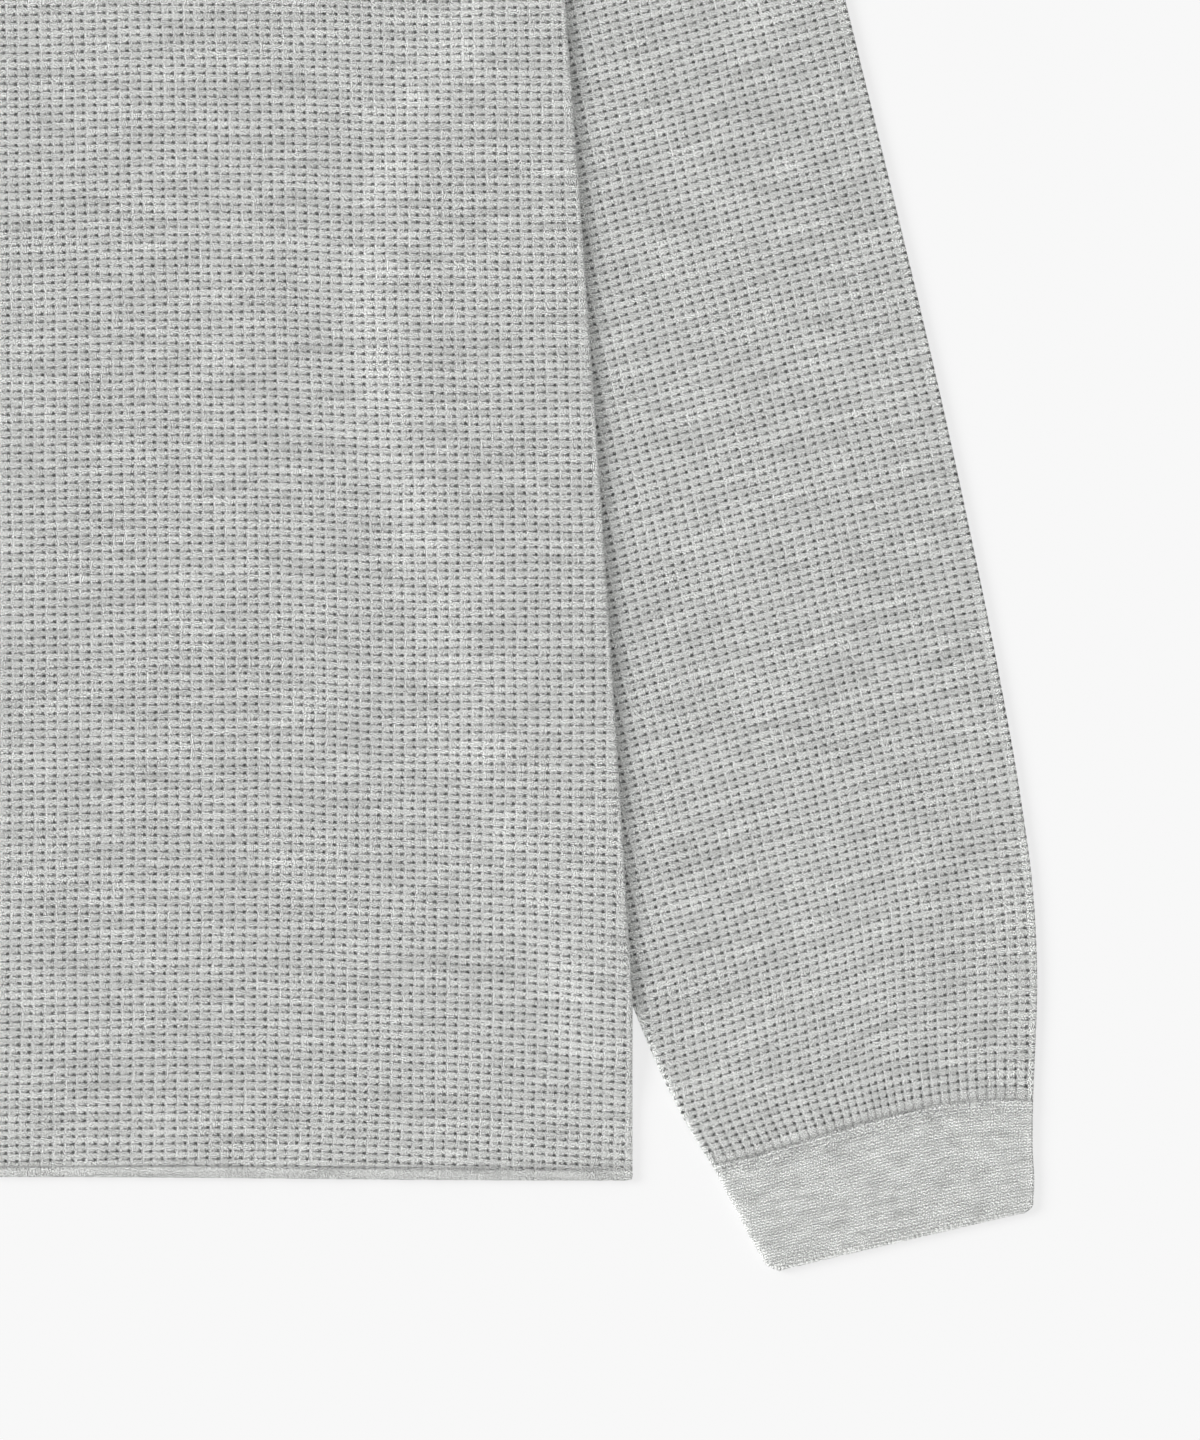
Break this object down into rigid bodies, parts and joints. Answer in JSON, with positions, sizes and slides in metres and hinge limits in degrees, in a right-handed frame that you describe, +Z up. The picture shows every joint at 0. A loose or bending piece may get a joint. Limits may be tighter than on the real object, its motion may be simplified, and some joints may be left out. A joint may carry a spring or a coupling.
{
  "type": "thermal top",
  "caption": "Long-sleeved crew-neck thermal top in light grey waffle knit with plain jersey cuffs and neckband, laid flat with its sleeves brought down beside and under the body.",
  "frame": {"origin": "on the surface it lies on, under the middle of the garment's outline", "axes": "+X across the garment towards the wearer's left, +Y from the hem to the neck, +Z up off the surface, with the front on top"},
  "size_m": [0.7966, 0.7298, 0.0065],
  "materials": {
    "waffle_knit": "matte",
    "fine_jersey": "matte"
  },
  "bodies": {
    "root": {"front": "waffle_knit", "back": "waffle_knit", "sleeve_left": "waffle_knit", "sleeve_right": "waffle_knit", "cuff_left": "fine_jersey", "cuff_right": "fine_jersey", "neckband": "fine_jersey"}
  },
  "joints": []
}
